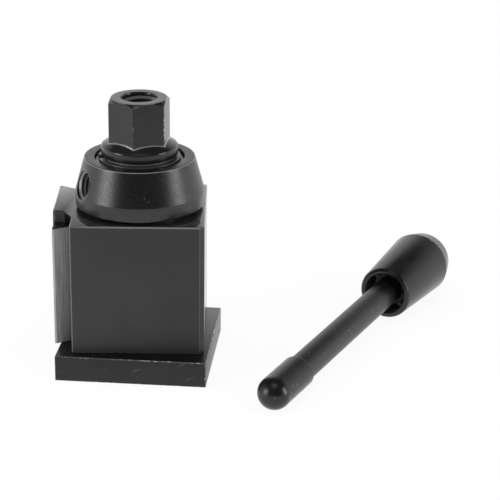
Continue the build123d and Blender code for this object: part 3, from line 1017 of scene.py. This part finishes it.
class DressCap(Operator):
    """Soft cap stretched over the lever's thread"""

    bl_idname = "tool_post.cap"
    bl_label = "Thread cap"

    def execute(self, context):
        sizes = context.scene.tool_post.lever
        place = lever_place()
        radius, length, lip = sizes.cap_radius, sizes.cap_length, 0.4 * MM
        inner = sizes.rod_radius + 0.05 * MM
        upper = place.inverted().to_3x3() @ Vector((0, 0, 1))
        up_turn = atan2(upper.y, upper.x)
        stations = [radius + (length - radius) * step / 24 for step in range(1, 24)]
        profile = [
            (0, 0),
            *arc((0, radius), radius, -pi / 2, 0, 28)[1:],
            *((radius, z) for z in stations),
            *arc((radius - lip, length - lip), lip, 0, pi / 2, 5),
            *((inner, z) for z in (length, *stations[::-1])),
            *arc((0, radius), inner, 0, -pi / 2, 20)[:-1],
            (0, radius - inner),
        ]

        def column(angle):
            slant = sizes.cap_slant * cos(angle - up_turn)
            return [(r, z - slant * max(0.0, (z - radius) / (length - radius)) ** 2) for r, z in profile]

        cap = smooth(column_mesh("soft_cap", column, even_turn(144), closed=False), 40)
        cap.data.transform(place)
        vinyl = plastic_material(
            "Dipped vinyl", (0.006, 0.006, 0.0065), roughness=0.27, grain=500, depth=0.25, specks=0.025
        )
        dress(cap, vinyl, "cap", "cap_vinyl", "thread_cap")
        return {"FINISHED"}


def lay_sweep(look):
    """Floor that curves up into a backdrop round the back and both sides. It glows: plain white to the camera, and
    to reflections a painted glow that dims with height, less so towards the back.
    """
    radius, bend = look.sweep_radius, 0.4
    backdrop = arc((radius - bend, bend), bend, -pi / 2, 0, 12) + [(radius, look.sweep_height)]
    mesh = bmesh.new()
    middle = mesh.verts.new((0, 0, 0))
    rows = []
    for angle in even_turn(72):
        behind = sin(angle) > -0.3
        reach = backdrop if behind else [(look.floor_front / max(-sin(angle), 0.35), 0)]
        rows.append([mesh.verts.new((*polar(r, angle), z)) for r, z in reach])
    for row, following in zip(rows, rows[1:] + rows[:1]):
        mesh.faces.new((middle, row[0], following[0]))
        if len(row) == len(following):
            for index in range(len(row) - 1):
                mesh.faces.new((row[index], row[index + 1], following[index + 1], following[index]))
    floor = mesh_object("studio_sweep", mesh)
    floor.data.shade_smooth()
    material, tree, _ = new_material("Studio paper")
    tree.nodes.clear()
    seen = add(tree, "ShaderNodeLightPath").outputs
    direct = math(tree, "MAXIMUM", seen["Is Camera Ray"], seen["Is Glossy Ray"])
    direct = math(tree, "MAXIMUM", direct, seen["Is Transmission Ray"])
    place = add(tree, "ShaderNodeSeparateXYZ", {0: place_on_piece(tree)}).outputs
    # Painted light: what reflections see of the sweep glows, full white low down and dimming with height, less so
    # towards the back
    lift = math(tree, "SUBTRACT", place[2], math(tree, "MULTIPLY", place[1], 0.4))
    painted_glow_by_height = remap(tree, lift, 0.0, look.sweep_height * 0.9, WHITE, 0.15)
    bright = math(tree, "MAXIMUM", painted_glow_by_height, math(tree, "MULTIPLY", seen["Is Camera Ray"], WHITE))
    glow = add(tree, "ShaderNodeEmission", {"Color": (1, 1, 1, 1), "Strength": bright})
    paper = add(tree, "ShaderNodeBsdfDiffuse", {"Color": solid(look.floor_colour)})
    share = math(tree, "MULTIPLY", direct, look.floor_glow, clamp=True)
    both = add(tree, "ShaderNodeMixShader", {0: share, 1: paper.outputs[0], 2: glow.outputs[0]})
    add(tree, "ShaderNodeOutputMaterial", {"Surface": both.outputs[0]})
    material.cycles.emission_sampling = "NONE"
    floor.data.materials.append(material)


def light_room(look):
    """Dim room, white only where the camera looks past the sweep."""
    world = bpy.data.worlds.new("Studio")
    bpy.context.scene.world = world
    world.use_nodes = True
    tree = world.node_tree
    tree.nodes.clear()
    seen = add(tree, "ShaderNodeLightPath").outputs
    lit = math(tree, "MULTIPLY", seen["Is Diffuse Ray"], look.room_light)
    strength = math(tree, "MAXIMUM", math(tree, "MAXIMUM", seen["Is Camera Ray"], lit), look.room_gloom)
    room = add(tree, "ShaderNodeBackground", {"Color": (1, 1, 1, 1), "Strength": strength})
    add(tree, "ShaderNodeOutputWorld", {"Surface": room.outputs[0]})


def add_softbox(name, place, size, power):
    """Rectangular lamp that faces the object."""
    light = bpy.data.lights.new(name, "AREA")
    light.shape = "RECTANGLE"
    light.size, light.size_y = size
    light.energy = power
    lamp = new_object(name, light)
    lamp.location = place
    lamp.rotation_euler = (LAMP_TARGET - lamp.location).to_track_quat("-Z", "Y").to_euler()


def place_camera(look):
    """Camera at the photograph's place, from its yaw, pitch and roll."""
    data = bpy.data.cameras.new("photographer")
    data.lens = look.camera_lens
    data.sensor_width = 36
    data.clip_start = 0.01
    camera = new_object("photographer", data)
    aim = turned(-look.camera_yaw) @ turned(pi / 2 - look.camera_pitch, "X") @ turned(look.camera_roll)
    camera.matrix_world = Matrix.Translation(look.camera_place) @ aim
    bpy.context.scene.camera = camera


class BuildStage(Operator):
    """White sweep, softboxes, dim surround and the photographer's camera"""

    bl_idname = "tool_post.stage"
    bl_label = "Stage"

    def execute(self, context):
        look = context.scene.tool_post.stage
        lay_sweep(look)
        light_room(look)
        add_softbox("softbox_left", (-0.93, -0.48, 0.30), (0.42, 0.60), look.left_lamp)
        add_softbox("softbox_right", (0.96, -0.27, 0.28), (0.34, 0.56), look.right_lamp)
        add_softbox("softbox_top", (0.0, -0.4, 1.1), (0.6, 0.5), look.top_lamp)
        place_camera(look)
        context.scene.view_settings.view_transform = "Standard"
        return {"FINISHED"}


OPERATORS = (
    DressInner, DressBase, DressBody, DressRing, DressRetainer, DressNut, DressLever, DressCap, BuildStage,
)


class ToolPostPanel(Panel):
    """Lists the sizes and the steps"""

    bl_idname = "VIEW3D_PT_tool_post"
    bl_label = "Tool post"
    bl_space_type = "VIEW_3D"
    bl_region_type = "UI"
    bl_category = "Tool post"

    def draw(self, context):
        settings = context.scene.tool_post
        self.layout.prop(settings, "turns")
        for group_name in ("steel", "ring", "nut", "lever", "stage"):
            group = getattr(settings, group_name)
            box = self.layout.box()
            box.label(text=group.bl_rna.name)
            for label in group.__annotations__:
                box.prop(group, label)
        for operator in OPERATORS:
            self.layout.operator(operator.bl_idname)


CLASSES = (SteelFinish, RingSizes, NutSizes, LeverSizes, StageLook, ToolPostSettings, *OPERATORS, ToolPostPanel)


def register():
    for kind in CLASSES:
        bpy.utils.register_class(kind)
    bpy.types.Scene.tool_post = PointerProperty(type=ToolPostSettings)


def unregister():
    del bpy.types.Scene.tool_post
    for kind in reversed(CLASSES):
        bpy.utils.unregister_class(kind)


def main():
    register()
    bpy.ops.tool_post.inner()
    bpy.ops.tool_post.base()
    bpy.ops.tool_post.body()
    bpy.ops.tool_post.cam_ring()
    bpy.ops.tool_post.retainer()
    bpy.ops.tool_post.nut()
    bpy.ops.tool_post.lever()
    bpy.ops.tool_post.cap()
    bpy.ops.tool_post.stage()


if __name__ == "__main__":
    main()
